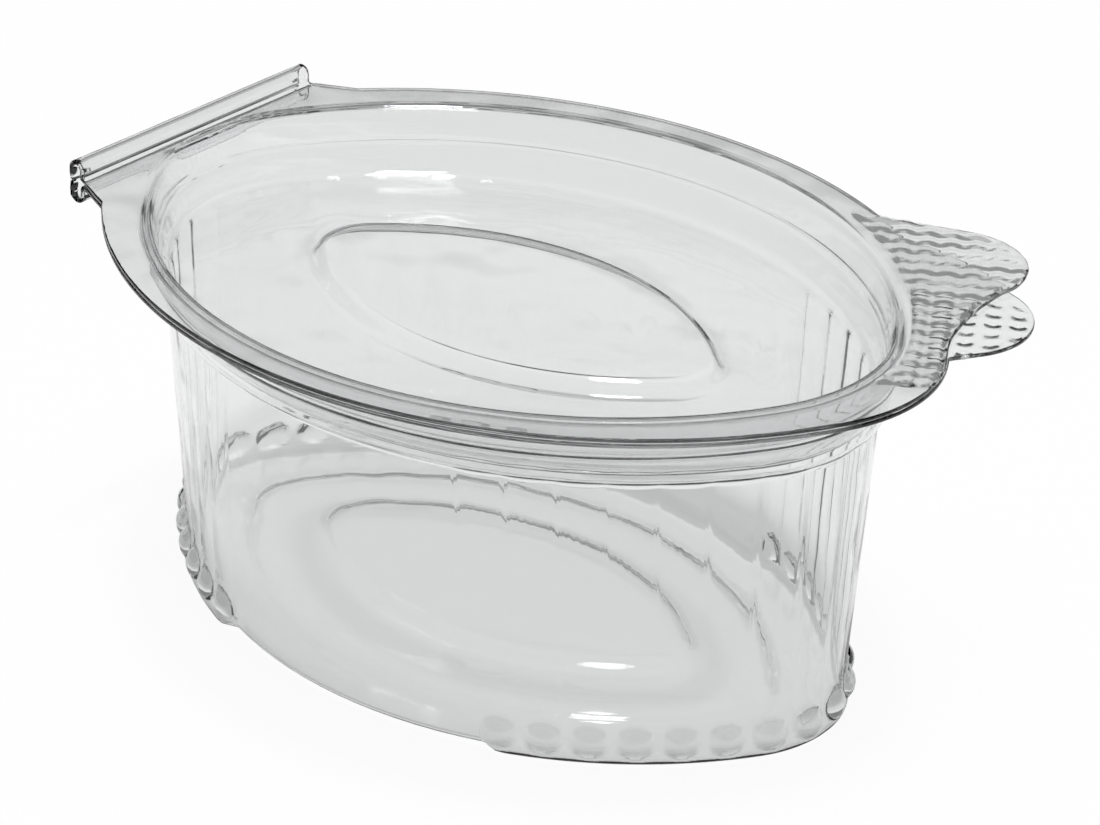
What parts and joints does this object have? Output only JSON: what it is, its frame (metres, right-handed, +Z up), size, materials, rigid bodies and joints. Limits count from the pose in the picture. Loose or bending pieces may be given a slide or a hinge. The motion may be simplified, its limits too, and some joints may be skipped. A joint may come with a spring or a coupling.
{
  "type": "hinged sauce pot",
  "caption": "Small oval clear plastic sauce pot with fluted ends, pearled foot, push-up floor and a hinged plug lid with pull tabs.",
  "frame": {"origin": "on the surface the foot stands on, under the middle of the pot's outer box", "axes": "+X runs along the oval from the hinge to the rounded end beside the pull tabs, +Y across it to the lid's tab lobe, +Z up"},
  "size_m": [0.0875, 0.068, 0.0398],
  "materials": {
    "clear_sheet": "clear, glossy, thermoformed"
  },
  "bodies": {
    "tub": {"tub": "clear_sheet"},
    "lid": {"lid": "clear_sheet"}
  },
  "joints": [
    {"name": "lid_hinge", "type": "hinge", "parent": "tub", "child": "lid", "pos_m": [-0.0438, 0, 0.03755], "axis": [0, -1, 0], "range_deg": [0, 180]}
  ]
}
